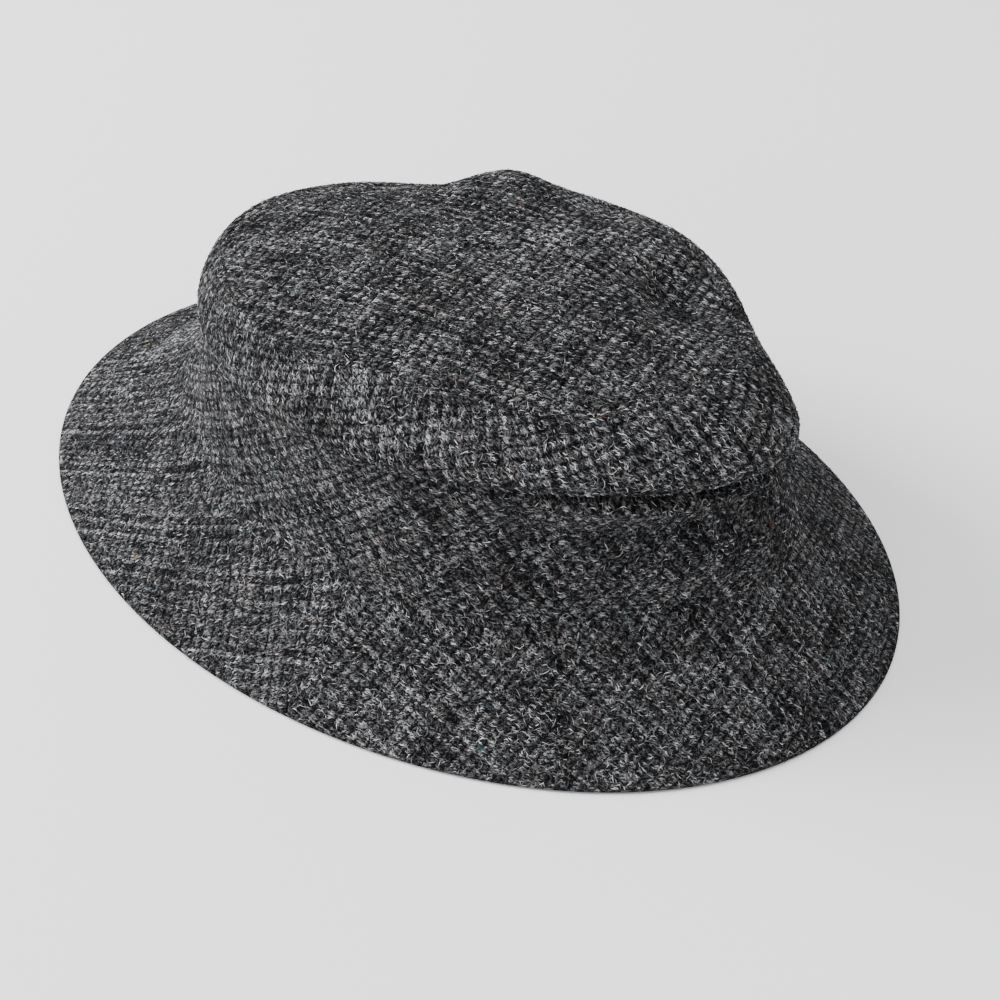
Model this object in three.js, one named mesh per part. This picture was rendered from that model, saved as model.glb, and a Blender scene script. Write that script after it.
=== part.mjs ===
// Soft tweed walking hat: an oval tip, a side panel that slouches over a base band,
// and a brim in two halves that slopes down all round.
// Millimetres, +Z up. The front of the hat points to -Y. The edge of the brim rests on z = 0,
// and the origin lies under the middle of the brim.
import * as THREE from 'three';

// Brim
const brimLength = 306; // edge to edge, front to back
const brimWidth = 235; // edge to edge, side to side
const brimDrop = 31; // height of the head opening above the brim's edge
const brimSag = 1.6; // how far the slope hangs below a straight line
const brimWall = 3; // two layers of cloth
const brimEdge = 1.6; // height of the turned edge
const brimFoot = 3; // width of the flat under the turned edge

// Crown
const crownLength = 201; // outside at the fold, front to back
const crownWidth = 166; // outside at the fold, side to side
const crownForward = 3.5; // how far the crown sits ahead of the brim's middle
const creaseSpread = 8; // how far the head opening reaches past the crown at the front and back
const bandHeight = 45; // base band, from the head opening up to the fold
const bandLean = 5; // how far the top of the base band leans inwards
const foldBulge = 4; // how far the side panel hangs out past the crown's oval
const foldDip = 2.2; // how far the fold's lip hangs below the seam inside it
const sideRise = 18; // height of the side panel, from the fold to the tip's seam
const sideInset = 18; // how far the tip's seam lies inside the crown's oval
const sideFullness = 1.4; // 1 gives the side panel an elliptic profile, 2 a straight one
const tipRise = 8; // dome of the tip above its seam
const dentDepth = 8; // size of the humps and dents of the slack top
const clothWall = 1.5; // crown panels
const seamGap = 0.3; // clearance between two panels that are sewn together

// Shape exponents
const creaseSharpness = 6; // how closely the crease's reach keeps to the front and back
const rimBlend = 1.5; // how soon the tip leaves the height of its seam
const domeFlatness = 2.5; // 2 gives a parabolic dome, more a flatter one

// Mesh fineness
const stepsRound = 72;
const brimRows = 5;
const bandRows = 7;
const sideRows = 8;
const lipRows = 2; // rows of the side panel that turn under at the fold
const tipRows = 8;

// Sections of the crown every 30 degrees, from the wearer's left side (+X) by way of the back (+Y).
// crease: height of the bend between brim and base band, a share of brimDrop
// fold: height of the fold's lip above the head opening, a share of bandHeight
// lean: how far the top of the base band leans inwards, a share of bandLean
// bulge: how far the side panel hangs out past the crown's oval, a share of foldBulge
// rise: height of the tip's seam above the fold, a share of sideRise
// inset: distance of the tip's seam inside the crown's oval, a share of sideInset
const sections = [
  { crease: 1.0, fold: 0.95, lean: 1.1, bulge: 0.2, rise: 0.62, inset: 1.0 },
  { crease: 1.0, fold: 0.85, lean: 1.2, bulge: 0.0, rise: 0.64, inset: 1.0 },
  { crease: 1.0, fold: 0.87, lean: 1.2, bulge: 0.0, rise: 0.66, inset: 0.95 },
  { crease: 1.0, fold: 0.9, lean: 1.3, bulge: -0.2, rise: 0.8, inset: 0.65 },
  { crease: 1.0, fold: 0.88, lean: 1.2, bulge: 0.0, rise: 1.0, inset: 0.5 },
  { crease: 1.0, fold: 0.89, lean: 1.0, bulge: 0.3, rise: 1.12, inset: 0.52 },
  { crease: 1.0, fold: 1.01, lean: 0.9, bulge: 0.3, rise: 1.08, inset: 0.9 },
  { crease: 1.05, fold: 1.16, lean: 1.1, bulge: 0.5, rise: 0.68, inset: 0.95 },
  { crease: 1.12, fold: 1.1, lean: 1.6, bulge: 0.6, rise: 0.82, inset: 1.25 },
  { crease: 1.02, fold: 0.93, lean: 2.2, bulge: 0.4, rise: 1.1, inset: 1.4 },
  { crease: 1.0, fold: 0.76, lean: 3.4, bulge: -2.4, rise: 1.35, inset: 1.4 },
  { crease: 1.0, fold: 0.88, lean: 2.0, bulge: -1.0, rise: 1.1, inset: 1.25 },
];

// Humps and dents of the crown's top.
// across, along: place from the crown's middle, shares of half crownWidth and half crownLength
// lift: height, a share of dentDepth
// spread: radius, a share of half crownWidth
const tipDents = [
  { name: 'far peak', across: 0.64, along: 0.26, lift: 1.15, spread: 0.17 },
  { name: 'far saddle', across: 0.7, along: 0.58, lift: -0.4, spread: 0.16 },
  { name: 'far shoulder', across: 0.66, along: -0.28, lift: 0.25, spread: 0.15 },
  { name: 'front dent', across: 0.24, along: -0.49, lift: -1.0, spread: 0.15 },
  { name: 'middle hollow', across: 0.0, along: 0.0, lift: -0.3, spread: 0.32 },
];

// Soft rolls and valleys of the base band.
// at: degrees round the crown, height: share of the way up the band
// lift: distance outwards, a share of bandLean, width: degrees, tall: share of the way up
const bandFolds = [
  { name: 'roll under the fold', at: 230, height: 0.78, lift: 0.7, width: 20, tall: 0.08 },
  { name: 'front roll', at: 258, height: 0.32, lift: 0.6, width: 14, tall: 0.16 },
  { name: 'front valley', at: 252, height: 0.62, lift: -0.5, width: 16, tall: 0.2 },
  { name: 'side hollow', at: 206, height: 0.6, lift: -0.3, width: 12, tall: 0.3 },
];

// Colour
const charcoal = 0x48484a;
const clothRoughness = 0.95;

const fullTurn = 2 * Math.PI;
const quarterTurn = Math.PI / 2;
const lipShare = lipRows / sideRows;
const radians = (degrees) => (degrees * Math.PI) / 180;
const mix = (a, b, t) => a + (b - a) * t;
const bell = (distance) => Math.exp(-0.5 * distance * distance);

// One column of the section table at any angle, by a closed Catmull-Rom curve.
function sectionValue(column, angle) {
  const count = sections.length;
  const place = (((angle / fullTurn) * count) % count + count) % count;
  const row = Math.floor(place);
  const t = place - row;
  const [a, b, c, d] = [-1, 0, 1, 2].map((step) => sections[(row + step + count) % count][column]);
  return 0.5 * (2 * b + (c - a) * t + (2 * a - 5 * b + 4 * c - d) * t * t + (3 * b - a - 3 * c + d) * t ** 3);
}

// The lengths of the crown's section at one angle.
function crownSection(angle) {
  return {
    crease: brimDrop * sectionValue('crease', angle),
    fold: brimDrop + bandHeight * sectionValue('fold', angle),
    lean: bandLean * sectionValue('lean', angle),
    bulge: foldBulge * sectionValue('bulge', angle),
    rise: sideRise * sectionValue('rise', angle),
    inset: sideInset * sectionValue('inset', angle),
  };
}

// A point beside the crown's oval, offset outwards, at a height.
function crownPoint(angle, offset, height) {
  const x = (crownWidth / 2 + offset) * Math.cos(angle);
  const y = (crownLength / 2 + offset) * Math.sin(angle) - crownForward;
  return new THREE.Vector3(x, y, height);
}

// The bend between brim and base band, which reaches past the crown at the front and back.
function creasePoint(angle) {
  return crownPoint(angle, creaseSpread * Math.sin(angle) ** creaseSharpness, crownSection(angle).crease);
}

// Outside of the brim, from its edge (0) to the crease (1).
function brimPoint(angle, share) {
  const x = (brimWidth / 2) * Math.cos(angle);
  const y = (brimLength / 2) * Math.sin(angle);
  const point = new THREE.Vector3(x, y, brimEdge).lerp(creasePoint(angle), share);
  point.z -= brimSag * Math.sin(Math.PI * share);
  return point;
}

// Outside of the base band, from the crease (0) to the seam inside the fold (1).
function bandPoint(angle, share) {
  const { lean, fold } = crownSection(angle);
  const point = creasePoint(angle).lerp(crownPoint(angle, -lean, fold + foldDip), share);
  let lift = 0;
  for (const roll of bandFolds) {
    const turn = (angle - radians(roll.at)) / radians(roll.width);
    lift += roll.lift * bandLean * bell(turn) * bell((share - roll.height) / roll.tall);
  }
  point.x += lift * Math.cos(angle);
  point.y += lift * Math.sin(angle);
  return point;
}

// How far the humps and dents lift the cloth over one place of the plan.
function dentLift(point) {
  let lift = 0;
  for (const dent of tipDents) {
    const across = point.x - (dent.across * crownWidth) / 2;
    const along = point.y + crownForward - (dent.along * crownLength) / 2;
    lift += dent.lift * dentDepth * bell(Math.hypot(across, along) / ((dent.spread * crownWidth) / 2));
  }
  return lift;
}

// Outside of the side panel, from the seam inside the fold (0) round the bulge to the tip's seam (1),
// before the humps and dents.
function smoothSidePoint(angle, share) {
  const { lean, fold, bulge, rise, inset } = crownSection(angle);
  if (share <= lipShare) {
    const turn = (share / lipShare) * quarterTurn;
    const height = fold + foldDip * (1 - Math.sin(2 * turn));
    return crownPoint(angle, mix(-lean, bulge, Math.sin(turn)), height);
  }
  const climb = ((share - lipShare) / (1 - lipShare)) * quarterTurn;
  const offset = mix(-inset, bulge, Math.cos(climb) ** sideFullness);
  return crownPoint(angle, offset, fold + foldDip + rise * Math.sin(climb) ** sideFullness);
}

// The side panel with its humps and dents, which fade out towards the fold.
function sidePoint(angle, share) {
  const point = smoothSidePoint(angle, share);
  const climb = (Math.max(share - lipShare, 0) / (1 - lipShare)) * quarterTurn;
  point.z += dentLift(point) * Math.sin(climb) ** sideFullness;
  return point;
}

// Outside of the tip, from its seam (0) to the middle (1).
function tipPoint(angle, share) {
  const radius = 1 - share;
  const seam = smoothSidePoint(angle, 1);
  const meanHeight = brimDrop + bandHeight + foldDip + sideRise;
  const point = new THREE.Vector3(0, -crownForward, meanHeight).lerp(seam, radius);
  point.z = mix(meanHeight, seam.z, radius ** rimBlend) + tipRise * (1 - radius ** domeFlatness);
  point.z += dentLift(point);
  return point;
}

const panels = [brimPoint, bandPoint, sidePoint, tipPoint];
const [brimStart, bandStart, sideStart, tipStart] = panels.keys();

// The whole outside, a unit of level for each panel from the brim's edge to the middle of the tip.
function outside(angle, level) {
  const panel = Math.min(Math.floor(level), panels.length - 1);
  return panels[panel](angle, level - panel);
}

// Outward normal of the outside, averaged over a crease or seam.
const reach = 0.04; // levels to either side
const turn = radians(1); // angle to either side
function normalAt(angle, level) {
  const low = outside(angle, Math.max(level - reach, 0));
  const high = outside(angle, Math.min(level + reach, panels.length));
  const along = high.sub(low).normalize();
  const round = outside(angle + turn, level).sub(outside(angle - turn, level)).normalize();
  return round.cross(along).normalize();
}

// The point one wall further in than a point of the outside.
function inside(angle, level, wall) {
  return outside(angle, level).addScaledVector(normalAt(angle, level), -wall);
}

// Levels of a panel's rows, which stop half a seam gap short of its seams.
function panelLevels(start, rows) {
  const points = Array.from({ length: rows + 1 }, (_, row) => panels[start](0, row / rows));
  const length = points.slice(1).reduce((sum, point, row) => sum + point.distanceTo(points[row]), 0);
  const trim = seamGap / 2 / length;
  return points.map((_, row) => start + mix(trim, 1 - trim, row / rows));
}

// A closed loop of points round the cloth's section at one angle.
function clothSection(angle, levels, wall) {
  const outer = levels.map((level) => outside(angle, level));
  const inner = levels.map((level) => inside(angle, level, wall));
  return [...outer, ...inner.reverse()];
}

// The brim's section ends in a turned edge with a flat foot.
function brimSection(angle, levels) {
  const loop = clothSection(angle, levels, brimWall).slice(0, -1);
  const out = new THREE.Vector3(Math.cos(angle), Math.sin(angle), 0);
  const toe = loop[0].clone().addScaledVector(out, -brimEdge / 2).setZ(0);
  const heel = toe.clone().addScaledVector(out, -brimFoot);
  const top = heel.clone().addScaledVector(out, -brimEdge).setZ(brimEdge);
  return [...loop, top, heel, toe];
}

function solidGeometry(points, index) {
  const geometry = new THREE.BufferGeometry().setFromPoints(points);
  geometry.setIndex(index);
  geometry.computeVertexNormals();
  return geometry;
}

// Triangles that close the end of a lofted solid, seen from before the first loop.
function endFace(loop) {
  const flat = loop.map((point) => new THREE.Vector2(Math.hypot(point.x, point.y), point.z));
  return THREE.ShapeUtils.triangulateShape(flat, []);
}

// A solid through loops that follow each other round the hat, closed on itself or with two ends.
function loftedSolid(loops, closed) {
  const size = loops[0].length;
  const index = [];
  const spans = closed ? loops.length : loops.length - 1;
  for (let span = 0; span < spans; span += 1) {
    const here = span * size;
    const next = ((span + 1) % loops.length) * size;
    for (let corner = 0; corner < size; corner += 1) {
      const after = (corner + 1) % size;
      index.push(here + corner, next + corner, next + after);
      index.push(here + corner, next + after, here + after);
    }
  }
  if (!closed) {
    const last = (loops.length - 1) * size;
    for (const [a, b, c] of endFace(loops[0])) {
      index.push(a, b, c);
    }
    for (const [a, b, c] of endFace(loops.at(-1))) {
      index.push(last + c, last + b, last + a);
    }
  }
  return solidGeometry(loops.flat(), index);
}

// A panel that goes all the way round.
function ringPanel(start, rows) {
  const levels = panelLevels(start, rows);
  const angles = Array.from({ length: stepsRound }, (_, step) => (step / stepsRound) * fullTurn);
  return loftedSolid(angles.map((angle) => clothSection(angle, levels, clothWall)), true);
}

// Half of the brim, from one side seam to the other.
function brimHalf(startAngle) {
  const levels = panelLevels(brimStart, brimRows);
  levels[0] = brimStart;
  const trim = seamGap / brimWidth;
  const steps = stepsRound / 2;
  const angles = Array.from({ length: steps + 1 }, (_, step) => startAngle + mix(trim, Math.PI - trim, step / steps));
  return loftedSolid(angles.map((angle) => brimSection(angle, levels)), false);
}

// The tip: a dished upper and lower sheet joined round the rim, each closed by one middle point.
function tipPanel() {
  const levels = panelLevels(tipStart, tipRows).slice(0, -1);
  const points = [];
  for (const wall of [0, clothWall]) {
    for (const level of levels) {
      for (let step = 0; step < stepsRound; step += 1) {
        points.push(inside((step / stepsRound) * fullTurn, level, wall));
      }
    }
    const middle = outside(0, panels.length);
    points.push(middle.setZ(middle.z - wall));
  }
  const index = [];
  const sheet = levels.length * stepsRound + 1;
  const inmost = (levels.length - 1) * stepsRound;
  for (let step = 0; step < stepsRound; step += 1) {
    const next = (step + 1) % stepsRound;
    for (let row = 0; row < inmost; row += stepsRound) {
      const [a, b, c, d] = [row + step, row + next, row + stepsRound + step, row + stepsRound + next];
      index.push(a, b, d, a, d, c);
      index.push(sheet + a, sheet + d, sheet + b, sheet + a, sheet + c, sheet + d);
    }
    index.push(inmost + step, inmost + next, sheet - 1);
    index.push(sheet + inmost + next, sheet + inmost + step, sheet + sheet - 1);
    index.push(sheet + step, sheet + next, next, sheet + step, next, step);
  }
  return solidGeometry(points, index);
}

function clothMesh(name, geometry) {
  const material = new THREE.MeshStandardMaterial({ color: charcoal, roughness: clothRoughness, metalness: 0 });
  const mesh = new THREE.Mesh(geometry, material);
  mesh.name = name;
  return mesh;
}

const hat = new THREE.Group();
hat.add(clothMesh('brim_front', brimHalf(Math.PI)));
hat.add(clothMesh('brim_back', brimHalf(0)));
hat.add(clothMesh('base_band', ringPanel(bandStart, bandRows)));
hat.add(clothMesh('crown_side', ringPanel(sideStart, sideRows)));
hat.add(clothMesh('crown_tip', tipPanel()));

export default hat;
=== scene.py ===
"""Looks of the soft tweed walking hat: woven panels, wool fibres, floor, light and camera."""

import math

import bpy
import numpy as np
from mathutils import Matrix, Vector


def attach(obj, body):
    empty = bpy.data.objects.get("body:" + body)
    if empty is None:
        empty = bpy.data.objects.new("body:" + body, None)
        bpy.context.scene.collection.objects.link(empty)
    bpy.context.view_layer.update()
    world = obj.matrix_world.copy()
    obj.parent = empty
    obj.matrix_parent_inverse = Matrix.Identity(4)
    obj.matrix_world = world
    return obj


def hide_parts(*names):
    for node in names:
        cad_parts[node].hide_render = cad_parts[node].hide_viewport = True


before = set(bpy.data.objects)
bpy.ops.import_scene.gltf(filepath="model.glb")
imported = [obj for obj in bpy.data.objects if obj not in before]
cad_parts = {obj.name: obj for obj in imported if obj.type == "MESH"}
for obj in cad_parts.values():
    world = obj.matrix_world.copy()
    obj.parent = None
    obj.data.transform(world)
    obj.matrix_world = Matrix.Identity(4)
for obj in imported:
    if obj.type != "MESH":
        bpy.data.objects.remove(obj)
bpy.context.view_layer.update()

# Sizes, in millimetres. They repeat the lengths of the solids.
BRIM_LENGTH, BRIM_WIDTH = 306, 235
BRIM_DROP, BRIM_SAG, BRIM_WALL, BRIM_EDGE = 31, 1.6, 3, 1.6
CROWN_LENGTH, CROWN_WIDTH, CROWN_FORWARD = 201, 166, 3.5
CREASE_SPREAD, CREASE_SHARPNESS = 8, 6
BAND_HEIGHT, BAND_LEAN = 45, 5
FOLD_BULGE, FOLD_DIP = 4, 2.2
SIDE_RISE, SIDE_INSET, SIDE_FULLNESS = 18, 18, 1.4
TIP_RISE, DENT_DEPTH, RIM_BLEND, DOME_FLATNESS = 8, 8, 1.5, 2.5
CLOTH_WALL = 1.4
NOSE_WALL, NOSE_LENGTH = 0.05, 2.2  # the brim thins to its edge over this length
EDGE_ROLL, EDGE_ROLL_LENGTH = 0.9, 3.0  # the brim's edge rolls down by this much
LIP_SHARE = 0.25  # share of the side panel that is turned under the fold
MM = 0.001

# Sections every 30 degrees from +X by way of +Y: crease, fold, lean, bulge, rise, inset.
SECTIONS = np.array([
    (1.00, 0.95, 1.10, 0.20, 0.62, 1.00),
    (1.00, 0.85, 1.20, 0.00, 0.64, 1.00),
    (1.00, 0.87, 1.20, 0.00, 0.66, 0.95),
    (1.00, 0.90, 1.30, -0.20, 0.80, 0.65),
    (1.00, 0.88, 1.20, 0.00, 1.00, 0.50),
    (1.00, 0.89, 1.00, 0.30, 1.12, 0.52),
    (1.00, 1.01, 0.90, 0.30, 1.08, 0.90),
    (1.05, 1.16, 1.10, 0.50, 0.68, 0.95),
    (1.12, 1.10, 1.60, 0.60, 0.82, 1.25),
    (1.02, 0.93, 2.20, 0.40, 1.10, 1.40),
    (1.00, 0.76, 3.40, -2.40, 1.35, 1.40),
    (1.00, 0.88, 2.00, -1.00, 1.10, 1.25),
])
# Humps and dents of the top: across, along, lift, spread.
DENTS = (
    (0.64, 0.26, 1.15, 0.17),
    (0.70, 0.58, -0.40, 0.16),
    (0.66, -0.28, 0.25, 0.15),
    (0.24, -0.49, -1.00, 0.15),
    (0.00, 0.00, -0.30, 0.32),
)
# Rolls and valleys of the band: degrees, share of the height, lift, width in degrees, tallness.
BAND_FOLDS = (
    (230, 0.78, 0.7, 20, 0.08),
    (258, 0.32, 0.6, 14, 0.16),
    (252, 0.62, -0.5, 16, 0.20),
    (206, 0.60, -0.3, 12, 0.30),
)

# The band swells again close under the fold, which leaves a dark slit there. The columns are the same.
SLIT_ROLLS = (
    (232, 0.86, 1.4, 18, 0.05),
    (260, 0.83, 1.2, 10, 0.055),
)

# The cloth.
WARP_PITCH, WEFT_PITCH = 2.15, 3.2  # mm from yarn to yarn
YARN_RELIEF = 0.3  # mm
YARN_LEVEL, YARN_WAVE = 0.35, 0.65  # shares of the relief: the yarn's mean height, and its wave
CONE_TURN = 0.777  # how far a brim half fans out when laid flat
BAND_BIAS = math.radians(40)
SIDE_BIAS = math.radians(16)
SEAM_DITCH, SEAM_WIDTH = 0.2, 1.1  # mm
WANDER = ((0.5, 9), (0.22, 2.6))  # how far the yarns wander, and over which length, in mm
STRIP_SAMPLES, STRIP_OVERLAP = 1801, 0.05  # points along a strip, and radians past its seam
SECTION_SAMPLES = 241
NOISE_CELLS = 64
# How far the bend between brim and band is rounded to either side, every 60 degrees from +X.
CREASE_ROUNDING = (8, 8, 12, 14, 5, 3)  # mm
# How far the outermost line of the fold is taken in, and over which share of the side panel.
LIP_ROUNDING, LIP_ROUND_SPREAD = 1.3, 0.07  # mm, share


def mix(a, b, t):
    return a + (b - a) * t


def bell(d):
    return np.exp(-0.5 * d * d)


def smooth(t):
    t = np.clip(t, 0, 1)
    return t * t * (3 - 2 * t)


def value_noise(u, v, seed):
    """Smooth noise from -1 to 1 with one cell per unit."""
    table = np.random.default_rng(seed).uniform(-1, 1, (NOISE_CELLS, NOISE_CELLS))
    i, j = np.floor(u).astype(int), np.floor(v).astype(int)
    s, t = smooth(u - i), smooth(v - j)

    def value(row, column):
        return table[row % NOISE_CELLS, column % NOISE_CELLS]

    return mix(mix(value(i, j), value(i + 1, j), s), mix(value(i, j + 1), value(i + 1, j + 1), s), t)


# The hat's shape.
def section(angle):
    """The lengths of the crown's section at each angle, by a closed Catmull-Rom curve."""
    count = len(SECTIONS)
    place = np.mod(angle / (2 * math.pi) * count, count)
    row = np.floor(place).astype(int) % count
    t = (place - np.floor(place))[..., None]
    a, b, c, d = (SECTIONS[(row + step) % count] for step in (-1, 0, 1, 2))
    squared, cubed = (2 * a - 5 * b + 4 * c - d) * t ** 2, (3 * b - a - 3 * c + d) * t ** 3
    value = 0.5 * (2 * b + (c - a) * t + squared + cubed)
    crease, fold, lean, bulge, rise, inset = np.moveaxis(value, -1, 0)
    return {
        "crease": BRIM_DROP * crease,
        "fold": BRIM_DROP + BAND_HEIGHT * fold,
        "lean": BAND_LEAN * lean,
        "bulge": FOLD_BULGE * bulge,
        "rise": SIDE_RISE * rise,
        "inset": SIDE_INSET * inset,
    }


def crown_point(angle, offset, height):
    x = (CROWN_WIDTH / 2 + offset) * np.cos(angle)
    y = (CROWN_LENGTH / 2 + offset) * np.sin(angle) - CROWN_FORWARD
    return np.stack([x, y, height + 0 * x], -1)


def crease_point(angle):
    spread = CREASE_SPREAD * np.sin(angle) ** CREASE_SHARPNESS
    return crown_point(angle, spread, section(angle)["crease"])


def plain_brim_point(angle, share):
    x, y = BRIM_WIDTH / 2 * np.cos(angle), BRIM_LENGTH / 2 * np.sin(angle)
    edge = np.stack([x, y, BRIM_EDGE + 0 * angle], -1)
    point = mix(edge, crease_point(angle), share[..., None])
    point[..., 2] -= BRIM_SAG * np.sin(math.pi * share)
    return point


def plain_band_point(angle, share):
    size = section(angle)
    top = crown_point(angle, -size["lean"], size["fold"] + FOLD_DIP)
    point = mix(crease_point(angle), top, share[..., None])
    lift = sum(
        rise * BAND_LEAN * bell((angle - math.radians(at)) / math.radians(width))
        * bell((share - height) / tall)
        for at, height, rise, width, tall in BAND_FOLDS + SLIT_ROLLS
    )
    point[..., 0] += lift * np.cos(angle)
    point[..., 1] += lift * np.sin(angle)
    return point


def around(values, angle):
    """A smooth value round the hat from a few that are spaced evenly."""
    count = len(values)
    place = np.mod(angle / (2 * math.pi) * count, count)
    row = np.floor(place).astype(int) % count
    values = np.asarray(values, dtype=float)
    return mix(values[row], values[(row + 1) % count], smooth(place - np.floor(place)))


def rounded_bend(angle, share, panel, near):
    """A panel whose end at the crease is replaced by half of a curve from brim to band."""
    point = panel(angle, share)
    crease = crease_point(angle)
    brim_length = np.linalg.norm(plain_brim_point(angle, 0 * angle) - crease, axis=-1)
    band_length = np.linalg.norm(plain_band_point(angle, 0 * angle + 1) - crease, axis=-1)
    reach = around(CREASE_ROUNDING, angle)
    on_brim = plain_brim_point(angle, 1 - reach / brim_length)
    on_band = plain_band_point(angle, reach / band_length)
    distance = (1 - share) * brim_length if near == "brim" else share * band_length
    half = 0.5 * np.clip(distance / reach, 0, 1)
    place = (0.5 - half if near == "brim" else 0.5 + half)[..., None]
    curve = (1 - place) ** 2 * on_brim + 2 * place * (1 - place) * crease + place ** 2 * on_band
    return np.where((distance < reach)[..., None], curve, point)


def brim_point(angle, share):
    return rounded_bend(angle, share, plain_brim_point, "brim")


def band_point(angle, share):
    return rounded_bend(angle, share, plain_band_point, "band")


def dent_lift(point):
    lift = 0
    for across, along, rise, spread in DENTS:
        x = point[..., 0] - across * CROWN_WIDTH / 2
        y = point[..., 1] + CROWN_FORWARD - along * CROWN_LENGTH / 2
        lift = lift + rise * DENT_DEPTH * bell(np.hypot(x, y) / (spread * CROWN_WIDTH / 2))
    return lift


def smooth_side_point(angle, share):
    size = section(angle)
    turn = np.minimum(share / LIP_SHARE, 1) * math.pi / 2
    lip_height = size["fold"] + FOLD_DIP * (1 - np.sin(2 * turn))
    lip = crown_point(angle, mix(-size["lean"], size["bulge"], np.sin(turn)), lip_height)
    climb = np.clip((share - LIP_SHARE) / (1 - LIP_SHARE), 0, 1) * math.pi / 2
    offset = mix(-size["inset"], size["bulge"], np.clip(np.cos(climb), 0, 1) ** SIDE_FULLNESS)
    height = size["fold"] + FOLD_DIP + size["rise"] * np.sin(climb) ** SIDE_FULLNESS
    up = crown_point(angle, offset, height)
    return np.where((share <= LIP_SHARE)[..., None], lip, up)


def side_point(angle, share):
    point = smooth_side_point(angle, share)
    climb = np.clip((share - LIP_SHARE) / (1 - LIP_SHARE), 0, 1) * math.pi / 2
    point[..., 2] += dent_lift(point) * np.sin(climb) ** SIDE_FULLNESS
    inwards = LIP_ROUNDING * bell((share - LIP_SHARE) / LIP_ROUND_SPREAD)
    point[..., 0] -= inwards * np.cos(angle)
    point[..., 1] -= inwards * np.sin(angle)
    return point


def tip_point(angle, share):
    radius = 1 - share
    seam = smooth_side_point(angle, np.ones_like(angle))
    mean_height = BRIM_DROP + BAND_HEIGHT + FOLD_DIP + SIDE_RISE
    middle = np.stack([0 * angle, 0 * angle - CROWN_FORWARD, 0 * angle + mean_height], -1)
    point = mix(middle, seam, radius[..., None])
    dome = TIP_RISE * (1 - radius ** DOME_FLATNESS)
    point[..., 2] = mix(mean_height, seam[..., 2], radius ** RIM_BLEND) + dome
    point[..., 2] += dent_lift(point)
    return point


# The cloth laid flat.
def fan(centre):
    """Flat place of a brim half, whose straight grain runs along the hat's centre line."""
    def place(point, angle, share):
        radius = np.hypot(point[..., 0], point[..., 1]) / CONE_TURN
        turn = np.arctan2(point[..., 1], point[..., 0]) - math.radians(centre)
        turn = (np.mod(turn + math.pi, 2 * math.pi) - math.pi) * CONE_TURN
        return radius * np.sin(turn), radius * np.cos(turn)
    return place


def strip(panel, share_at, height, bias):
    """Flat place of a ring panel, cut at an angle to the grain and joined at the centre back."""
    seam = math.pi / 2
    turns = seam + np.linspace(-STRIP_OVERLAP, 2 * math.pi + STRIP_OVERLAP, STRIP_SAMPLES)
    ring = panel(turns, np.full_like(turns, share_at))
    steps = np.linalg.norm(np.diff(ring, axis=0), axis=1)
    arc = np.concatenate([[0], np.cumsum(steps)])

    def place(point, angle, share):
        along = np.interp(angle, turns, arc)
        up = height * share
        return along * math.cos(bias) + up * math.sin(bias), up * math.cos(bias) - along * math.sin(bias)
    return place


def wobble(u, v, seed):
    """Yarns wander a little."""
    def wander(first_seed):
        return sum(far * value_noise(u / length, v / length, first_seed + place)
                   for place, (far, length) in enumerate(WANDER))

    return u + wander(seed), v + wander(seed + 2)


# A light and a dark warp yarn by turns. The steps spread the tones of the single yarns.
WARP_STEP, WEFT_STEP = 0.61803, 0.75488
DARK_YARN, LIGHT_YARN, WARP_MORE = 0.28, 0.49, 0.06
WARP_SPREAD, WEFT_SPREAD = 0.14, 0.14
# How much lighter a yarn is at the middle of a cell than at its ends, and the mean of that curve.
DASH, DASH_MEAN = 0.2, 0.33


def yarn_tone(u, v):
    """Tone of the yarn on top, 0 dark to 1 light."""
    i, j = np.floor(u / WARP_PITCH), np.floor(v / WEFT_PITCH)
    over = np.mod(i + j, 2) < 0.5
    tone = np.where(np.mod(i, 2) < 0.5, LIGHT_YARN, DARK_YARN) + WARP_MORE * over
    tone += WARP_SPREAD * (np.mod(i * WARP_STEP, 1) - 0.5) + WEFT_SPREAD * (np.mod(j * WEFT_STEP, 1) - 0.5)
    tone += DASH * (DASH_MEAN - (2 * (v / WEFT_PITCH - j) - 1) ** 2)
    return tone


def weave_relief(u, v):
    """Height of a plain weave of round yarns, from about -0.3 to 1."""
    i, j = np.floor(u / WARP_PITCH), np.floor(v / WEFT_PITCH)
    across, along = u / WARP_PITCH - i - 0.5, v / WEFT_PITCH - j - 0.5
    warp_wave = np.where(i % 2, -1, 1) * np.sin(math.pi * v / WEFT_PITCH)
    weft_wave = np.where(j % 2, -1, 1) * np.sin(math.pi * u / WARP_PITCH)
    warp = np.cos(math.pi * across) * (YARN_LEVEL + YARN_WAVE * warp_wave)
    weft = np.cos(math.pi * along) * (YARN_LEVEL - YARN_WAVE * weft_wave)
    return np.maximum(warp, weft)


# Meshes.
def grid_normals(points, closed):
    """Outward normals of a grid of points indexed [row, column]."""
    if closed:
        sideways = np.roll(points, -1, 1) - np.roll(points, 1, 1)
    else:
        sideways = np.gradient(points, axis=1)
    upwards = np.gradient(points, axis=0)
    normal = np.cross(sideways, upwards)
    return normal / np.linalg.norm(normal, axis=-1, keepdims=True)


def even_shares(panel, angles, rows):
    """Shares that space a panel's rows evenly along its section, for each angle."""
    shares = np.linspace(0, 1, SECTION_SAMPLES)
    points = panel(angles[None, :] + 0 * shares[:, None], shares[:, None] + 0 * angles[None, :])
    steps = np.linalg.norm(np.diff(points, axis=0), axis=2)
    arc = np.concatenate([np.zeros((1, len(angles))), np.cumsum(steps, 0)])
    arc /= arc[-1]
    even = np.linspace(0, 1, rows + 1)
    return np.stack([np.interp(even, arc[:, column], shares) for column in range(len(angles))], 1)


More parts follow.
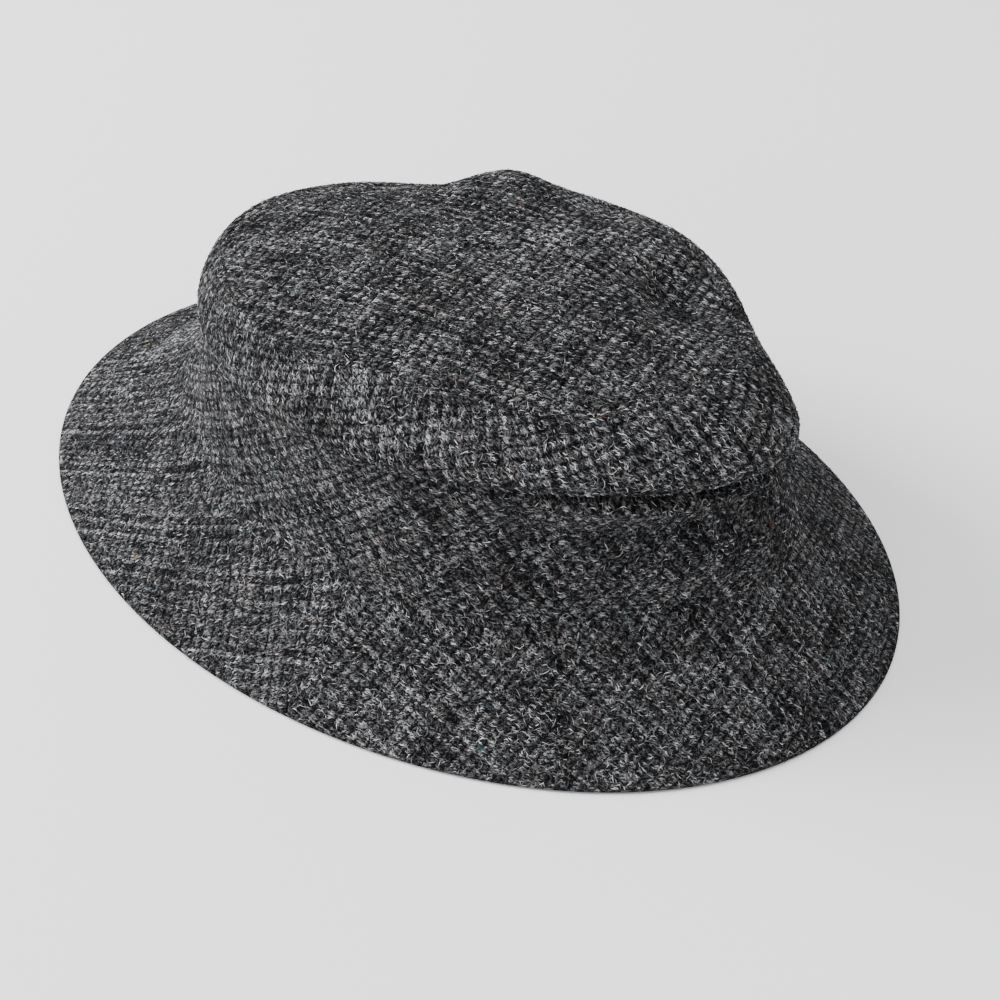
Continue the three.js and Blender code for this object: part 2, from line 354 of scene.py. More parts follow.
def make_object(name, vertices, faces, material, corner_uv=None):
    mesh = bpy.data.meshes.new(name)
    mesh.from_pydata((vertices * MM).tolist(), [], faces)
    if corner_uv is not None:
        layer = mesh.uv_layers.new(name="cloth")
        layer.data.foreach_set("uv", np.asarray(corner_uv, dtype=np.float32).ravel())
    mesh.polygons.foreach_set("use_smooth", np.ones(len(mesh.polygons), dtype=bool))
    mesh.validate()
    mesh.update()
    piece = bpy.data.objects.new(name, mesh)
    bpy.context.scene.collection.objects.link(piece)
    mesh.materials.append(material)
    return piece


def relief_of(flat_u, flat_v, seams):
    """Outward shift of the outer surface: the weave, sunk near the seams."""
    shift = YARN_RELIEF * weave_relief(flat_u, flat_v)
    for distance in seams:
        shift = shift - SEAM_DITCH * bell(distance / SEAM_WIDTH)
    return shift


def cloth_wall(distance):
    return CLOTH_WALL + 0 * distance


def cloth_shell(name, panel, flat, seed, columns, rows, material, start=0.0, span=2 * math.pi,
                inner_step=8, wall=cloth_wall, sink_start=True, edge=None):
    """A closed shell of cloth: a woven outer side and a plain inner side, joined along the rims.

    The inner side has one row for every inner_step rows. The edge function bends a brim's edge.
    """
    closed = span > 2 * math.pi - 0.01
    count = columns if closed else columns + 1
    angles = start + np.arange(count) / columns * span
    shares = even_shares(panel, angles, rows)
    turn = np.broadcast_to(angles, shares.shape)
    base = panel(turn, shares)
    normal = grid_normals(base, closed)
    wide_shares = np.concatenate([shares, shares[:, :1]], 1) if closed else shares
    wide_turn = np.broadcast_to(start + np.arange(columns + 1) / columns * span, wide_shares.shape)
    u, v = wobble(*flat(panel(wide_turn, wide_shares), wide_turn, wide_shares), seed)
    length = np.linalg.norm(np.diff(base, axis=0), axis=2).sum(0)
    row_share = np.linspace(0, 1, rows + 1)[:, None] + 0 * length
    seams = [row_share * length] if sink_start else []
    seams.append((1 - row_share) * length)
    if not closed:
        width = np.linalg.norm(np.diff(base, axis=1), axis=2)
        reach = np.concatenate([np.zeros((rows + 1, 1)), np.cumsum(width, 1)], 1)
        seams += [reach, reach[:, -1:] - reach]
    outer = base + normal * relief_of(u[:, :count], v[:, :count], seams)[..., None]
    if edge is not None:
        outer = edge(outer, row_share * length)
    keep = list(range(0, rows, inner_step)) + [rows]
    inner = base[keep] - normal[keep] * wall(row_share[keep] * length)[..., None]
    if edge is not None:
        inner[..., 2] = np.maximum(inner[..., 2], 0.0)
        outer[..., 2] = np.maximum(outer[..., 2], 0.0)
    vertices = np.concatenate([outer.reshape(-1, 3), inner.reshape(-1, 3)])
    inner_base = outer.shape[0] * count

    faces, corner_uv = [], []

    def column_after(column):
        return (column + 1) % count if closed else column + 1

    def out_id(row, column):
        return row * count + column

    def in_id(row, column):
        return inner_base + row * count + column

    def flat_at(row, column, shift=0):
        return u[row, column] + shift, v[row, column]

    for row in range(rows):
        for column in range(columns):
            after = column_after(column)
            faces.append((out_id(row, column), out_id(row, after),
                          out_id(row + 1, after), out_id(row + 1, column)))
            corner_uv += [flat_at(row, column), flat_at(row, column + 1),
                          flat_at(row + 1, column + 1), flat_at(row + 1, column)]
    last = len(keep) - 1
    for level in range(last):
        low, high = keep[level], keep[level + 1]
        for column in range(columns):
            after = column_after(column)
            faces.append((in_id(level, after), in_id(level, column),
                          in_id(level + 1, column), in_id(level + 1, after)))
            corner_uv += [flat_at(low, column + 1), flat_at(low, column),
                          flat_at(high, column), flat_at(high, column + 1)]
    for column in range(columns):
        after = column_after(column)
        faces.append((out_id(0, after), out_id(0, column), in_id(0, column), in_id(0, after)))
        corner_uv += [flat_at(0, column + 1), flat_at(0, column),
                      flat_at(0, column, -1), flat_at(0, column + 1, -1)]
        faces.append((out_id(rows, column), out_id(rows, after), in_id(last, after), in_id(last, column)))
        corner_uv += [flat_at(rows, column), flat_at(rows, column + 1),
                      flat_at(rows, column + 1, 1), flat_at(rows, column, 1)]
    for column in () if closed else (0, columns):
        for level in range(last):
            low, high = keep[level], keep[level + 1]
            ring = [out_id(row, column) for row in range(low, high + 1)]
            ring += [in_id(level + 1, column), in_id(level, column)]
            places = [flat_at(row, column) for row in range(low, high + 1)]
            places += [flat_at(high, column), flat_at(low, column)]
            if column == columns:
                ring.reverse()
                places.reverse()
            faces.append(tuple(ring))
            corner_uv += places
    piece = make_object(name, vertices, faces, material, corner_uv)
    return piece, {"points": outer, "normals": normal, "u": u[:, :count], "v": v[:, :count]}


def square_to_disc(a, b):
    """Concentric map of the square (-1..1) to angle and radius."""
    first = np.abs(a) > np.abs(b)
    radius = np.where(first, np.abs(a), np.abs(b))
    with np.errstate(divide="ignore", invalid="ignore"):
        angle = np.where(first, math.pi / 4 * b / a, math.pi / 2 - math.pi / 4 * a / b)
    angle = np.where(first & (a < 0), angle + math.pi, angle)
    angle = np.where(~first & (b < 0), angle + math.pi, angle)
    return np.where(radius == 0, 0, angle), radius


def tip_shell(name, half, material, seed):
    """The tip: even squares over the oval, with a coarser inner side half as fine."""
    side = 2 * half
    line = np.linspace(-1, 1, side + 1)
    a, b = np.meshgrid(line, line)
    angle, radius = square_to_disc(a, b)
    base = tip_point(angle, 1 - radius)
    normal = grid_normals(base, closed=False)
    u, v = wobble(base[..., 0], base[..., 1], seed)
    rim = np.linalg.norm(tip_point(angle, np.zeros_like(angle)) - base, axis=-1)
    outer = base + normal * relief_of(u, v, [rim])[..., None]
    inner = (base - normal * CLOTH_WALL)[::2, ::2]
    vertices = np.concatenate([outer.reshape(-1, 3), inner.reshape(-1, 3)])
    wide, narrow = side + 1, half + 1
    first_inner = wide * wide
    faces, corner_uv = [], []
    for row in range(side):
        for column in range(side):
            corners = ((row, column), (row, column + 1), (row + 1, column + 1), (row + 1, column))
            faces.append(tuple(r * wide + c for r, c in corners))
            corner_uv += [(u[r, c], v[r, c]) for r, c in corners]
    for row in range(half):
        for column in range(half):
            corners = ((row, column), (row + 1, column), (row + 1, column + 1), (row, column + 1))
            faces.append(tuple(first_inner + r * narrow + c for r, c in corners))
            corner_uv += [(u[2 * r, 2 * c], v[2 * r, 2 * c]) for r, c in corners]
    ring = [(0, c) for c in range(half)] + [(r, half) for r in range(half)]
    ring += [(half, c) for c in range(half, 0, -1)] + [(r, 0) for r in range(half, 0, -1)]
    for place, (r, c) in enumerate(ring):
        r2, c2 = ring[(place + 1) % len(ring)]
        outs = ((2 * r, 2 * c), (r + r2, c + c2), (2 * r2, 2 * c2))
        face = [row * wide + column for row, column in reversed(outs)]
        face += [first_inner + r * narrow + c, first_inner + r2 * narrow + c2]
        faces.append(tuple(face))
        corner_uv += [(u[row, column], v[row, column]) for row, column in reversed(outs)]
        corner_uv += [(u[2 * r, 2 * c], v[2 * r, 2 * c]), (u[2 * r2, 2 * c2], v[2 * r2, 2 * c2])]
    piece = make_object(name, vertices, faces, material, corner_uv)
    return piece, {"points": outer, "normals": normal, "u": u, "v": v}


# Helpers for shader nodes.
class Term:
    """A value in a node tree that can be added, multiplied and so on."""

    def __init__(self, tree, socket):
        self.tree = tree
        self.socket = socket

    def op(self, kind, *others):
        node = self.tree.nodes.new("ShaderNodeMath")
        node.operation = kind
        for slot, value in enumerate((self,) + others):
            if isinstance(value, Term):
                self.tree.links.new(value.socket, node.inputs[slot])
            else:
                node.inputs[slot].default_value = value
        return Term(self.tree, node.outputs[0])

    def __add__(self, other):
        return self.op("ADD", other)

    def __sub__(self, other):
        return self.op("SUBTRACT", other)

    def __mul__(self, other):
        return self.op("MULTIPLY", other)

    def ramp(self, low, high):
        node = self.tree.nodes.new("ShaderNodeMapRange")
        node.interpolation_type = "SMOOTHSTEP"
        self.tree.links.new(self.socket, node.inputs["Value"])
        node.inputs["From Min"].default_value = low
        node.inputs["From Max"].default_value = high
        return Term(self.tree, node.outputs["Result"])

    def towards(self, other, share):
        """This value moved towards another by a share."""
        return self + (other - self if isinstance(other, Term) else (self * -1) + other) * share


def vector(tree, x, y, z=0.0):
    node = tree.nodes.new("ShaderNodeCombineXYZ")
    for slot, value in enumerate((x, y, z)):
        if isinstance(value, Term):
            tree.links.new(value.socket, node.inputs[slot])
        else:
            node.inputs[slot].default_value = value
    return node.outputs[0]


def noise(tree, place, detail=1.0, roughness=0.5, scale=1.0):
    node = tree.nodes.new("ShaderNodeTexNoise")
    node.inputs["Scale"].default_value = scale
    node.inputs["Detail"].default_value = detail
    node.inputs["Roughness"].default_value = roughness
    tree.links.new(place, node.inputs["Vector"])
    return Term(tree, node.outputs[0])


def random_of(tree, place):
    node = tree.nodes.new("ShaderNodeTexWhiteNoise")
    node.noise_dimensions = "3D"
    tree.links.new(place, node.inputs["Vector"])
    return Term(tree, node.outputs["Value"])


def colour_mix(tree, share, first, second, mode="MIX"):
    node = tree.nodes.new("ShaderNodeMix")
    node.data_type = "RGBA"
    node.blend_type = mode
    sockets = [s for s in node.inputs if s.enabled]
    for socket, value in zip(sockets, (share, first, second)):
        if isinstance(value, Term):
            tree.links.new(value.socket, socket)
        elif isinstance(value, bpy.types.NodeSocket):
            tree.links.new(value, socket)
        else:
            socket.default_value = value
    return [s for s in node.outputs if s.enabled][0]


def grey(value, tint=(1.0, 1.0, 1.0)):
    return tuple(value * t for t in tint) + (1.0,)


def plain_material(name, colour, roughness):
    material = bpy.data.materials.new(name)
    material.use_nodes = True
    tree = material.node_tree
    shader = tree.nodes["Principled BSDF"]
    shader.inputs["Roughness"].default_value = roughness
    shader.inputs["Base Color"].default_value = colour
    return material, tree, shader


# The tweed.
DARK, LIGHT = 0.0025, 0.34
CELL_SPREAD, SLUB_SPREAD, SLUB_SCALE = 0.35, 1.6, 0.06
FIBRE_ACROSS, FIBRE_ALONG = 2.0, 0.55  # fibres to the millimetre
FIBRE_LOW, FIBRE_HIGH = 0.48, 0.72
PAINTED_HOLLOW_LIGHT = 0.15  # how light the painted shade leaves the hollows between the yarns
# Layers of loose fibres: seed, scale and width.
HAIR_LAYERS = ((11.0, 0.55, 0.07), (29.0, 0.75, 0.09), (47.0, 0.45, 0.06))
HAIR_PATCHES = 0.9
WARM_TINT, COLD_TINT, TINT_SHARE = (0.85, 0.70, 0.62, 1.0), (0.68, 0.82, 0.84, 1.0), 0.5
# Coloured knops: where each colour starts on the ramp, and the colour.
KNOPS = (
    (0.0, (0.20, 0.055, 0.03)),
    (0.2, (0.33, 0.30, 0.17)),
    (0.4, (0.13, 0.13, 0.06)),
    (0.6, (0.05, 0.12, 0.12)),
    (0.8, (0.22, 0.13, 0.11)),
)
KNOP_SCALE, KNOP_RARITY = 0.085, 0.72
BUMP_STRENGTH, BUMP_DISTANCE = 0.7, 0.0003  # share, metres
# Most fibres lie at this angle to the warp, anticlockwise as seen from outside.
BRIM_LAY, BAND_LAY, SIDE_LAY, TIP_LAY = (math.radians(a) for a in (20, 38, 38, 15))


def tweed(name, lay):
    """Tweed whose fibres lie at an angle from the warp towards the weft."""
    material, tree, shader = plain_material(name, grey(0.05), 0.95)
    shader.inputs["Specular IOR Level"].default_value = 0.02
    uv = tree.nodes.new("ShaderNodeUVMap")
    uv.uv_map = "cloth"
    split = tree.nodes.new("ShaderNodeSeparateXYZ")
    tree.links.new(uv.outputs[0], split.inputs[0])
    u, v = Term(tree, split.outputs[0]), Term(tree, split.outputs[1])

    across, along = u * (1 / WARP_PITCH), v * (1 / WEFT_PITCH)
    i, j = across.op("FLOOR"), along.op("FLOOR")
    warp_over = ((i + j) * 0.5).op("FRACT").op("LESS_THAN", 0.25)

    # fibres of the yarns
    cell = random_of(tree, vector(tree, i, j, 3.0))
    first = u * math.cos(lay) - v * math.sin(lay)
    second = v * math.cos(lay) + u * math.sin(lay)
    place = vector(tree, first * FIBRE_ACROSS, second * FIBRE_ALONG, cell * 40)
    fibre = noise(tree, place, detail=1.5, roughness=0.6).ramp(FIBRE_LOW, FIBRE_HIGH)

    # loose fibres that lie in every direction
    hairs = None
    for seed, size, width in HAIR_LAYERS:
        field = noise(tree, vector(tree, u * size, v * size, seed), detail=1.0)
        line = ((field - 0.5).op("ABSOLUTE")).ramp(width, 0.0)
        mask = noise(tree, vector(tree, u * HAIR_PATCHES, v * HAIR_PATCHES, seed + 5)).ramp(0.5, 0.62)
        layer = line * mask
        hairs = layer if hairs is None else hairs.op("MAXIMUM", layer)

    # yarn tones, with slubs along the cloth
    even = (i * 0.5).op("FRACT").op("LESS_THAN", 0.25)
    warp_spread = ((i * WARP_STEP).op("FRACT") - 0.5) * WARP_SPREAD
    spread = warp_spread + ((j * WEFT_STEP).op("FRACT") - 0.5) * WEFT_SPREAD
    slub = noise(tree, vector(tree, u * SLUB_SCALE, v * SLUB_SCALE, 2.0), detail=3.0, roughness=0.7)
    end = (along.op("FRACT") - 0.5).op("MULTIPLY", 2.0)
    dash = end * end * -DASH + DASH_MEAN * DASH
    tone = even * (LIGHT_YARN - DARK_YARN) + warp_over * WARP_MORE + spread + DARK_YARN + dash
    tone = tone + (cell - 0.5) * CELL_SPREAD + (slub - 0.5) * SLUB_SPREAD
    tone = tone.op("MAXIMUM", 0.0)

    # painted shade darkens the hollows between the yarns; the same curve also gives the bump's height
    side = (across.op("FRACT") - 0.5).op("MULTIPLY", 2.0)
    crown = ((side * side * -1.0) + 1.0) * ((end * end * -1.0) + 1.0)
    crown = crown.ramp(0.0, 0.6) * (1 - PAINTED_HOLLOW_LIGHT) + PAINTED_HOLLOW_LIGHT

    # the colour is multiplied by crown, the painted shade of the hollows
    light = (fibre * (tone * tone * 1.4 + 0.05) + tone * 0.03) * crown + hairs * (tone * 0.35 + 0.08)
    wool_tint = colour_mix(tree, light, grey(DARK, (0.95, 1.0, 1.3)), grey(LIGHT, (0.98, 0.97, 1.0)))
    hue = random_of(tree, vector(tree, i, (v * 0.12).op("FLOOR"), 21.0))
    wool_tint = colour_mix(tree, hue.ramp(0.8, 1.0) * TINT_SHARE, wool_tint, WARM_TINT, "MULTIPLY")
    wool_tint = colour_mix(tree, hue.ramp(0.2, 0.0) * TINT_SHARE, wool_tint, COLD_TINT, "MULTIPLY")

    # sparse coloured knops
    knops = tree.nodes.new("ShaderNodeTexVoronoi")
    knops.inputs["Scale"].default_value = 1.0
    tree.links.new(vector(tree, u * KNOP_SCALE, v * KNOP_SCALE), knops.inputs["Vector"])
    spot = Term(tree, knops.outputs["Distance"]).ramp(0.12, 0.05)
    shade = tree.nodes.new("ShaderNodeSeparateColor")
    tree.links.new(knops.outputs["Color"], shade.inputs[0])
    which = tree.nodes.new("ShaderNodeValToRGB")
    which.color_ramp.interpolation = "CONSTANT"
    ramp = which.color_ramp
    for place, (position, colour) in enumerate(KNOPS):
        stop = ramp.elements[place] if place < 2 else ramp.elements.new(position)
        stop.position = position
        stop.color = colour + (1.0,)
    tree.links.new(shade.outputs[0], which.inputs[0])
    chosen = Term(tree, shade.outputs[1]).op("GREATER_THAN", KNOP_RARITY)
    wool_tint = colour_mix(tree, spot * chosen * (light * 0.5 + 0.35), wool_tint, which.outputs[0])
    tree.links.new(wool_tint, shader.inputs["Base Color"])

    bump = tree.nodes.new("ShaderNodeBump")
    bump.inputs["Strength"].default_value = BUMP_STRENGTH
    bump.inputs["Distance"].default_value = BUMP_DISTANCE
    height = fibre * 0.6 + hairs * 0.9 + crown
    tree.links.new(height.socket, bump.inputs["Height"])
    tree.links.new(bump.outputs[0], shader.inputs["Normal"])
    return material


FUZZ_SCALE, FUZZ_DIM = 900.0, 0.35  # size and depth of the patches in which fibres are darker


def fuzz_material():
    material, tree, shader = plain_material("wool_fibre", grey(0.25), 0.8)
    shader.inputs["Specular IOR Level"].default_value = 0.04
    tone = tree.nodes.new("ShaderNodeAttribute")
    tone.attribute_name = "tone"
    place = tree.nodes.new("ShaderNodeTexCoord")
    patch = noise(tree, place.outputs["Object"], scale=FUZZ_SCALE)
    dimmed = colour_mix(tree, patch.ramp(0.3, 0.7) * FUZZ_DIM, tone.outputs["Color"], grey(0.004))
    tree.links.new(dimmed, shader.inputs["Base Color"])
    return material


SMALLEST_CELL = 1e-3  # square mm


def cloth_frame(surface):
    """At each grid point: place, normal, the warp's direction, the place on the flat cloth and the area."""
    p, n, u, v = (surface[key] for key in ("points", "normals", "u", "v"))
    here = (slice(0, -1), slice(0, -1))
    up, over = (slice(1, None), slice(0, -1)), (slice(0, -1), slice(1, None))
    up_p, over_p = p[up] - p[here], p[over] - p[here]
    up_u, over_u = u[up] - u[here], u[over] - u[here]
    up_v, over_v = v[up] - v[here], v[over] - v[here]
    det = over_u * up_v - up_u * over_v
    det = np.where(np.abs(det) < SMALLEST_CELL, SMALLEST_CELL, det)[..., None]
    warp = (up_p * over_u[..., None] - over_p * up_u[..., None]) / det
    area = np.linalg.norm(np.cross(up_p, over_p), axis=-1)
    parts = (p[here], n[here], warp)
    return [part.reshape(-1, 3) for part in parts] + [u[here].ravel(), v[here].ravel(), area.ravel()]


def rows_of(surface, low, high):
    """The part of a surface between two shares of its height."""
    rows = len(surface["u"])
    part = slice(int(low * rows), int(high * rows))
    return {key: surface[key][part] for key in ("points", "normals", "u", "v")}


def surface_size(surface):
    rows, columns = surface["u"].shape
    return (rows - 1) * (columns - 1)


def unit(vectors):
    return vectors / np.maximum(np.linalg.norm(vectors, axis=-1, keepdims=True), 1e-9)


SPINDLE_HEIGHT = 0.7  # share of the width


def spindles(line, normal, radius):
    """Closed three-sided spindles: a point, a ring round each middle point of the line, a point."""
    rings = len(line) - 2
    vertices = [line[0][:, None, :]]
    for place in range(1, rings + 1):
        tangent = unit(line[place + 1] - line[place - 1])
        across = unit(np.cross(normal, tangent))
        upward = np.cross(tangent, across)
        for corner in range(3):
            swing = 2 * math.pi * corner / 3
            offset = (across * math.cos(swing) + upward * math.sin(swing) * SPINDLE_HEIGHT) * radius
            vertices.append((line[place] + offset)[:, None, :])
    vertices.append(line[-1][:, None, :])
    pattern = [(0, 2, 1), (0, 3, 2), (0, 1, 3)]
    for ring in range(rings - 1):
        first = 1 + 3 * ring
        for corner in range(3):
            a, b = first + corner, first + (corner + 1) % 3
            pattern += [(a, b, b + 3), (a, b + 3, a + 3)]
    last = 3 * rings + 1
    pattern += [(last - 3, last - 2, last), (last - 2, last - 1, last), (last - 1, last - 3, last)]
    faces = np.arange(len(normal))[:, None, None] * (last + 1) + np.array(pattern)[None]
    return np.concatenate(vertices, 1).reshape(-1, 3), faces.reshape(-1, 3), last + 1


# Laid fibres follow the yarns, loose ones lie anyhow, and strays are the loose ones that stand off.
# The lengths are in mm, and each pair holds the least and the most.
LAID_LENGTH, LAID_VARIES, LAID_RADIUS = 2.2, (0.7, 1.4), (0.12, 0.22)
LOOSE_LENGTH, LOOSE_RADIUS = (1.8, 4.2), (0.07, 0.14)
LAID_CURL, LOOSE_CURL, TWIST_SPREAD = 0.9, 1.0, 0.45
ROOT_SCATTER, RISE, SUNK_END = 0.3, (0.16, 0.38), 0.12
STRAY_SHARE, STRAY_LIFT = 0.1, (0.3, 0.9)
# Tones of the fibres.
CELL_SHADE, PATCH_SHADE, SINGLE_SHADE = 0.22, 0.3, 0.3
SHADE_LOW, SHADE_RANGE, SHADE_POWER, LOOSE_POWER = 0.002, 0.45, 2.2, 1.6
BRIGHT_SHARE, BRIGHT_SHADE, WARM_SPREAD = 0.012, (0.5, 0.8), 0.04


def fibres(name, surfaces, laid, loose, material, seed):
    """Short curved bundles of wool over the cloth, each a closed three-sided spindle.

    Laid ones follow the twist of the yarns, and more of them lie on the light yarns. Loose ones lie anyhow.
    """
    local = np.random.default_rng(seed)
    frames = [cloth_frame(surface) + [np.full(surface_size(surface), lay)] for surface, lay in surfaces]
    points, normals, warp, u, v, area, lay = (np.concatenate(part) for part in zip(*frames))
    tone = yarn_tone(u, v)
    side = 2 * (np.mod(u / WARP_PITCH, 1) - 0.5)
    end = 2 * (np.mod(v / WEFT_PITCH, 1) - 0.5)
    crown = (1 - side ** 2) * (1 - end ** 2)
    patches = 0.5 * value_noise(u / 7, v / 7, seed + 40) + 0.5 * value_noise(u / 18, v / 18, seed + 41)
    cell_u, cell_v = np.floor(u / WARP_PITCH) + 0.5, np.floor(v / WEFT_PITCH) + 0.5
    cell_random = value_noise(cell_u, cell_v, seed + 50)
    on_yarn = area * crown * np.clip(0.25 + tone + PATCH_SHADE * patches, 0.05, None)

    def build(count, share, heading_of, length, curl, lift_end, radius, places):
        pick = local.choice(len(points), count, p=share / share.sum())
        normal = normals[pick]
        straight = unit(warp[pick])
        turn = heading_of(pick)
        heading = straight * np.cos(turn) + np.cross(normal, straight) * np.sin(turn)
        aside = np.cross(normal, heading)
        root = points[pick] + heading * local.uniform(-ROOT_SCATTER, ROOT_SCATTER, (count, 1))
        root = root + aside * local.uniform(-ROOT_SCATTER, ROOT_SCATTER, (count, 1))
        bend = local.normal(0, curl, (count, 1)) / np.maximum(length, 1)
        rise = local.uniform(*RISE, (count, 1))

        def spot(t):
            along = heading * (length * (t - 0.5)) + aside * (bend * (length * (t - 0.5)) ** 2)
            height = rise * 4 * t * (1 - t) - SUNK_END + (lift_end + SUNK_END) * t * t
            return root + along + normal * height

        return (pick,) + spindles([spot(t) for t in places], normal, radius)

    length = LAID_LENGTH * local.uniform(*LAID_VARIES, (laid, 1))
    radius = local.uniform(*LAID_RADIUS, (laid, 1))
    on_cloth = build(laid, on_yarn, lambda pick: (lay[pick] + local.normal(0, TWIST_SPREAD, laid))[:, None],
                     length, LAID_CURL, -SUNK_END, radius, (0.0, 0.5, 1.0))
    stands = local.random((loose, 1)) < STRAY_SHARE
    length = local.uniform(*LOOSE_LENGTH, (loose, 1))
    lift = np.where(stands, local.uniform(*STRAY_LIFT, (loose, 1)), -SUNK_END)
    radius = local.uniform(*LOOSE_RADIUS, (loose, 1))
    off_cloth = build(loose, area, lambda pick: local.uniform(0, 2 * math.pi, (loose, 1)),
                      length, LOOSE_CURL, lift, radius, (0.0, 0.33, 0.68, 1.0))
    vertices = np.concatenate([on_cloth[1], off_cloth[1]])
    faces = np.concatenate([on_cloth[2], off_cloth[2] + len(on_cloth[1])])
    piece = make_object(name, vertices, faces.tolist(), material)

    pick = on_cloth[0]
    shade = tone[pick] + CELL_SHADE * cell_random[pick] + PATCH_SHADE * patches[pick]
    shade = np.clip(shade + local.normal(0, SINGLE_SHADE, laid), 0, 1.2)
    shade = np.concatenate([shade, local.random(loose) ** LOOSE_POWER])
    shade = SHADE_LOW + SHADE_RANGE * shade ** SHADE_POWER
    bright = local.random(laid + loose) < BRIGHT_SHARE
    shade = np.where(bright, local.uniform(*BRIGHT_SHADE, laid + loose), shade)
    warm = local.normal(0, WARM_SPREAD, laid + loose)
    red, green, blue = shade * (0.97 + warm), shade * 0.98, shade * (1.02 - warm)
    colours = np.stack([red, green, blue, np.ones_like(shade)], -1)
    colours = np.repeat(colours, [on_cloth[3]] * laid + [off_cloth[3]] * loose, 0)
    attribute = piece.data.color_attributes.new(name="tone", type="FLOAT_COLOR", domain="POINT")
    attribute.data.foreach_set("color", colours.astype(np.float32).ravel())
    return piece


# The hat is built.
def brim_wall(distance):
    """Thickness of the brim at a distance from its edge: a round nose, then two layers of cloth."""
    nose = np.clip(distance / NOSE_LENGTH, 0, 1)
    return NOSE_WALL + (BRIM_WALL - NOSE_WALL) * np.sqrt(1 - (1 - nose) ** 2)


def brim_nose(points, distance):
    """The edge rolls down a little."""
    points = points.copy()
    points[..., 2] -= EDGE_ROLL * (1 - np.clip(distance / EDGE_ROLL_LENGTH, 0, 1)) ** 2
    return points


# The flat cloth of the brim is laid mirrored, and so its fibres turn the other way.
brim_tweed = tweed("tweed_brim", BRIM_LAY)
band_tweed = tweed("tweed_band", -BAND_LAY)
side_tweed = tweed("tweed_side", -SIDE_LAY)
tip_tweed = tweed("tweed_tip", -TIP_LAY)
wool = fuzz_material()
fine = 1.0


def steps(count):
    return int(count * fine)


BRIM_COLUMNS, BRIM_ROWS = 460, 56  # for each half
BAND_COLUMNS, BAND_ROWS = 720, 48
SIDE_COLUMNS, SIDE_ROWS = 740, 50
TIP_HALF = 84  # half of the rows of the tip
BAND_CLOTH, SIDE_CLOTH = 46, 36  # mm, the heights of the strips
SEAM_ANGLE = math.pi / 2  # the band and the side panel close at the centre back

brim_front, front_face = cloth_shell(
    "brim_front_cloth", brim_point, fan(270), 101, steps(BRIM_COLUMNS), steps(BRIM_ROWS), brim_tweed,
    start=math.pi, span=math.pi, inner_step=4, wall=brim_wall, sink_start=False, edge=brim_nose)
brim_back, back_face = cloth_shell(
    "brim_back_cloth", brim_point, fan(90), 131, steps(BRIM_COLUMNS), steps(BRIM_ROWS), brim_tweed,
    start=0.0, span=math.pi, inner_step=4, wall=brim_wall, sink_start=False, edge=brim_nose)
base_band, band_face = cloth_shell(
    "base_band_cloth", band_point, strip(band_point, 0.5, BAND_CLOTH, BAND_BIAS), 151,
    steps(BAND_COLUMNS), steps(BAND_ROWS), band_tweed, start=SEAM_ANGLE)
crown_side, side_face = cloth_shell(
    "crown_side_cloth", side_point, strip(side_point, 0.6, SIDE_CLOTH, SIDE_BIAS), 171,
    steps(SIDE_COLUMNS), steps(SIDE_ROWS), side_tweed, start=SEAM_ANGLE)
crown_tip, tip_face = tip_shell("crown_tip_cloth", steps(TIP_HALF), tip_tweed, 191)

dress = (
    (brim_front, "brim_front"),
    (brim_back, "brim_back"),
    (base_band, "base_band"),
    (crown_side, "crown_side"),
    (crown_tip, "crown_tip"),
)
for piece, node in dress:
    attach(piece, "root")
    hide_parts(node)

quick_share = 1.0
# Each piece of fibres: its name, the cloth under it with the fibres' angle, laid, loose, seed.
fuzz_plan = (
    ("fibres_brim_front", [(rows_of(front_face, 0.02, 1.0), BRIM_LAY)], 15000, 4500, 11),
    ("fibres_brim_back", [(rows_of(back_face, 0.02, 1.0), BRIM_LAY)], 15000, 4500, 12),
    ("fibres_base_band", [(rows_of(band_face, 0.0, 0.88), BAND_LAY)], 12000, 3500, 13),
    ("fibres_crown", [(rows_of(side_face, 0.2, 1.0), SIDE_LAY), (tip_face, TIP_LAY)], 21000, 6000, 14),
)
for name, under, laid, loose, seed in fuzz_plan:
    piece = fibres(name, under, int(laid * quick_share), int(loose * quick_share), wool, seed)
    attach(piece, "root")

# Floor, lights and camera.
floor_mesh = bpy.data.meshes.new("floor")
FLOOR_HALF = 3.0
corners = [(x * FLOOR_HALF, y * FLOOR_HALF, 0) for x, y in ((-1, -1), (1, -1), (1, 1), (-1, 1))]
floor_mesh.from_pydata(corners, [], [(0, 1, 2, 3)])
floor = bpy.data.objects.new("floor", floor_mesh)
bpy.context.scene.collection.objects.link(floor)
floor_material, _, _ = plain_material("floor_paper", grey(0.86), 0.9)
floor_mesh.materials.append(floor_material)

# The camera was fitted to the outlines of the brim and the crown.
CAMERA_AZIMUTH, CAMERA_ELEVATION, CAMERA_ROLL = (math.radians(a) for a in (-67.0, 41.9, 7.1))
CAMERA_TARGET = Vector((-0.04427, -0.02978, 0.0475))
CAMERA_DISTANCE = 0.48136
FOCAL_SHARE = 1.573  # focal length over the picture's width
SENSOR = 36.0

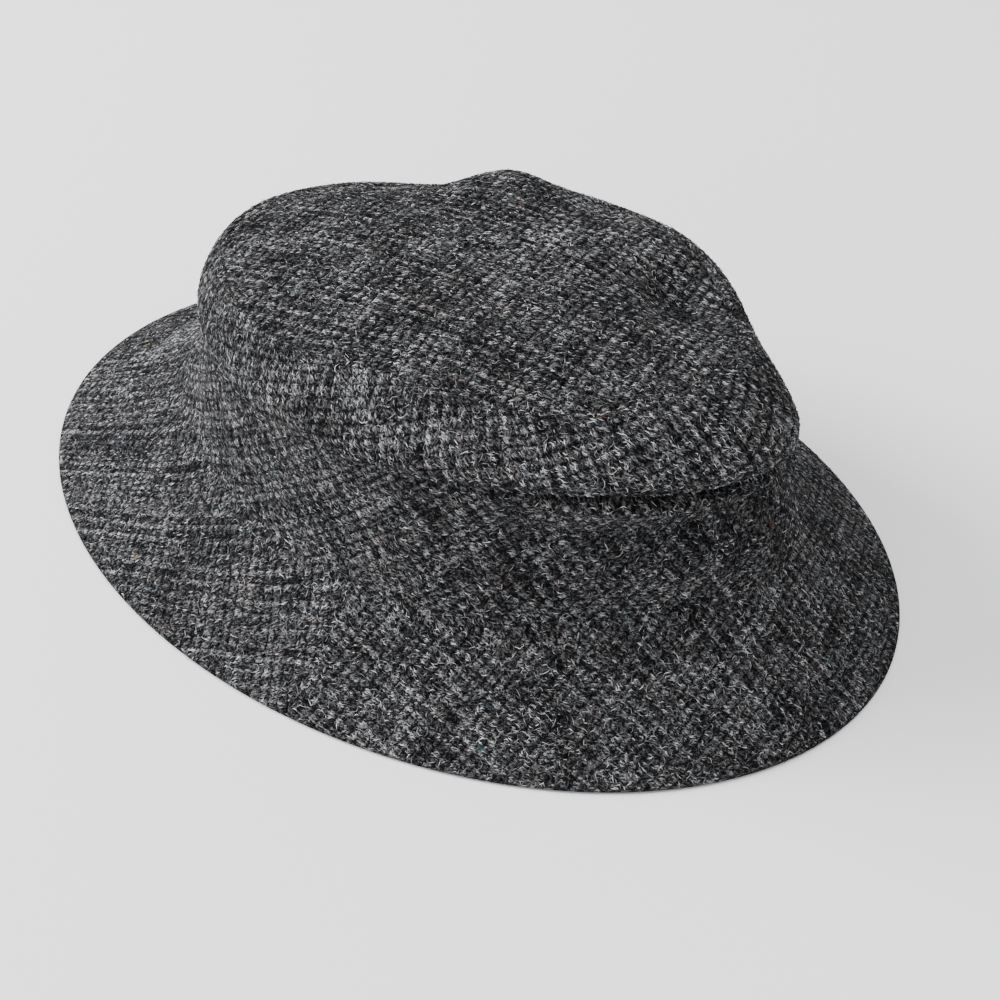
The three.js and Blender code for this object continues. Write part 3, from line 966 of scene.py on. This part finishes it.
back = Vector((math.sin(CAMERA_AZIMUTH) * math.cos(CAMERA_ELEVATION),
               -math.cos(CAMERA_AZIMUTH) * math.cos(CAMERA_ELEVATION), math.sin(CAMERA_ELEVATION)))
level_right = Vector((math.cos(CAMERA_AZIMUTH), math.sin(CAMERA_AZIMUTH), 0))
level_up = back.cross(level_right)
right = math.cos(CAMERA_ROLL) * level_right + math.sin(CAMERA_ROLL) * level_up
up = math.cos(CAMERA_ROLL) * level_up - math.sin(CAMERA_ROLL) * level_right
camera_data = bpy.data.cameras.new("camera")
camera_data.sensor_width = SENSOR
camera_data.lens = FOCAL_SHARE * SENSOR
camera_data.clip_start = 0.01
camera = bpy.data.objects.new("camera", camera_data)
aim = Matrix((right, up, back)).transposed().to_4x4()
camera.matrix_world = Matrix.Translation(CAMERA_TARGET + back * CAMERA_DISTANCE) @ aim
bpy.context.scene.collection.objects.link(camera)
bpy.context.scene.camera = camera


LIGHT_DISTANCE, LIGHT_SIZE = 3.0, 2.0  # metres
KEY_POWER, FILL_POWER, SKY_POWER = 228, 65, 75  # watts
WORLD_STRENGTH = 0.66


def area_light(name, direction, power):
    data = bpy.data.lights.new(name, "AREA")
    data.shape = "DISK"
    data.size = LIGHT_SIZE
    data.energy = power
    light = bpy.data.objects.new(name, data)
    towards = Vector(direction).normalized()
    light.location = towards * LIGHT_DISTANCE
    light.rotation_euler = towards.to_track_quat("Z", "Y").to_euler()
    bpy.context.scene.collection.objects.link(light)


def seen(left, above, near):
    """A direction given as picture left, straight up and towards the camera."""
    flat_back = Vector((back.x, back.y, 0)).normalized()
    return -level_right * left + Vector((0, 0, above)) + flat_back * near


area_light("key", seen(1.0, 0.5, -0.05), KEY_POWER)
area_light("fill", seen(0.4, 0.2, 1.0), FILL_POWER)
area_light("sky", seen(0.0, 1.0, -0.1), SKY_POWER)

world = bpy.data.worlds.new("studio")
world.use_nodes = True
world.node_tree.nodes["Background"].inputs["Color"].default_value = (1.0, 1.0, 1.0, 1.0)
world.node_tree.nodes["Background"].inputs["Strength"].default_value = WORLD_STRENGTH
bpy.context.scene.world = world
